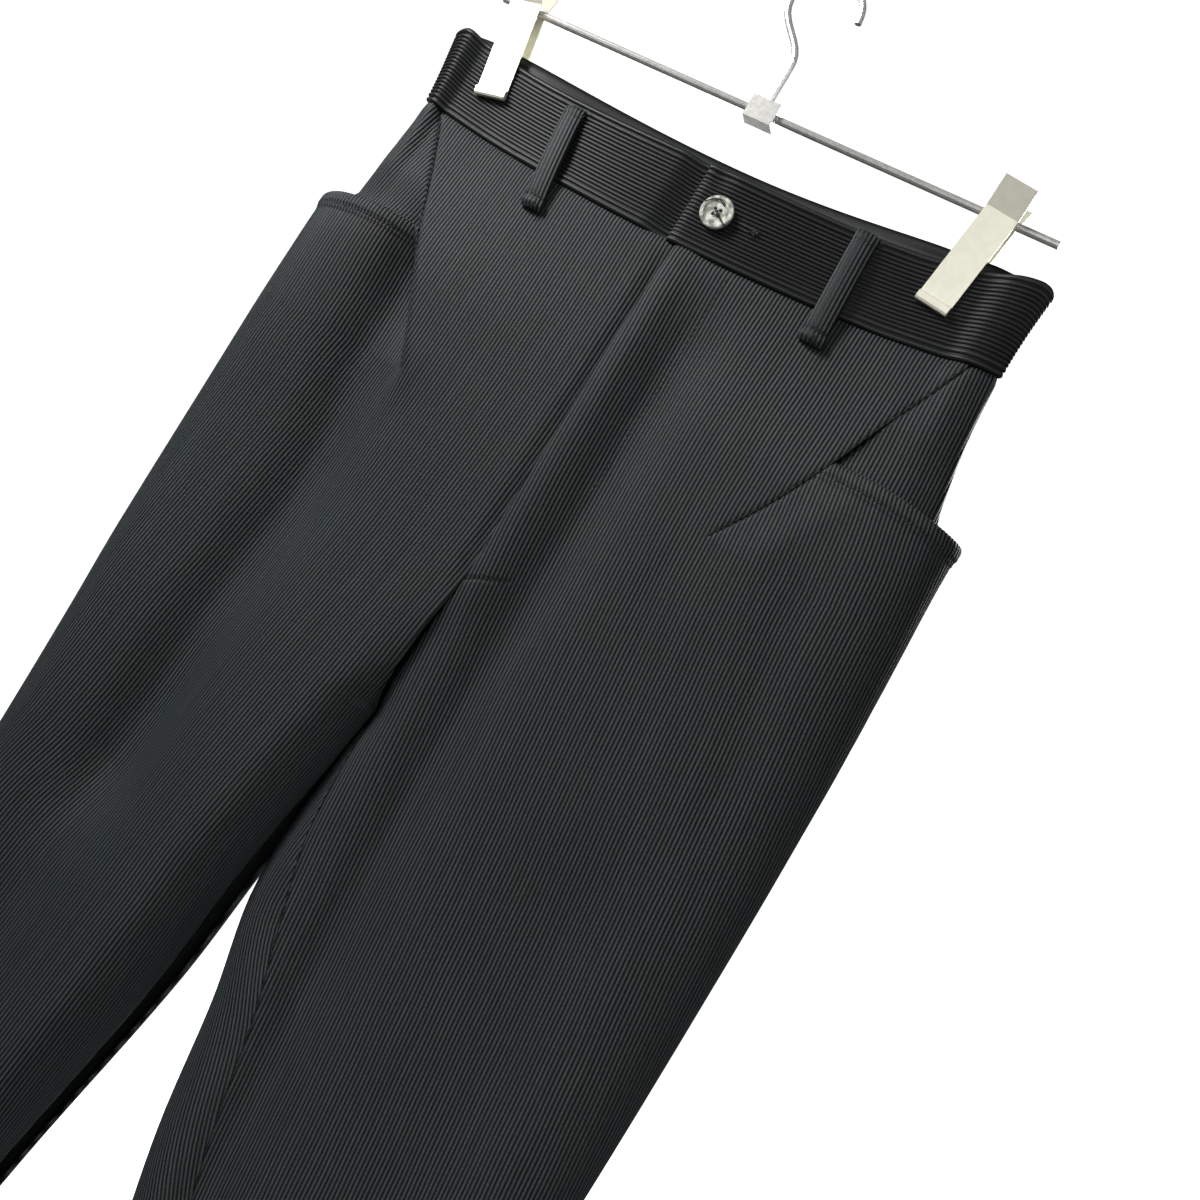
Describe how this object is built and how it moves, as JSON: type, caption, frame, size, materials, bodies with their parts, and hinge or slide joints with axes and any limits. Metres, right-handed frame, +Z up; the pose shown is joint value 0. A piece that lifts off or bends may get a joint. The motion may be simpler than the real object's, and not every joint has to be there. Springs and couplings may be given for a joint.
{
  "type": "cropped trousers on a clip hanger",
  "caption": "High-waisted dark ribbed cropped trousers with slanted side pockets and belt loops, hanging flat from a metal clip hanger.",
  "frame": {"origin": "where the hanger's hook rests on a rod, at the top of the crook's inside", "axes": "+X to the wearer's left, -Y to the front of the trousers, +Z up"},
  "size_m": [0.3927, 0.0834, 0.9837],
  "materials": {
    "ribbed_cloth": "charcoal-black ribbed cloth, fine cords along the leg, low sheen",
    "waistband_cloth": "the same cloth cut across, its cords running along the band",
    "shell_button": "pearly grey, polished, with a raised rim",
    "hanger_wire": "drawn steel wire, satin",
    "clip_metal": "satin champagne-silver plated steel"
  },
  "bodies": {
    "root": {"front_left": "ribbed_cloth", "front_right": "ribbed_cloth", "yoke_left": "ribbed_cloth", "yoke_right": "ribbed_cloth", "back_left": "ribbed_cloth", "back_right": "ribbed_cloth", "waistband_left": "waistband_cloth", "waistband_right": "waistband_cloth", "waistband_back": "waistband_cloth", "loop_front_left": "ribbed_cloth", "loop_front_right": "ribbed_cloth", "loop_back_left": "ribbed_cloth", "loop_back_right": "ribbed_cloth", "loop_back_centre": "ribbed_cloth", "button": "shell_button", "hanger_bar_left": "hanger_wire", "hanger_bar_right": "hanger_wire", "hanger_block": "hanger_wire", "hanger_hook": "hanger_wire", "clip_spring_left": "hanger_wire", "clip_spring_right": "hanger_wire", "clip_front_left": "clip_metal", "clip_back_left": "clip_metal", "clip_front_right": "clip_metal", "clip_back_right": "clip_metal"}
  },
  "joints": []
}
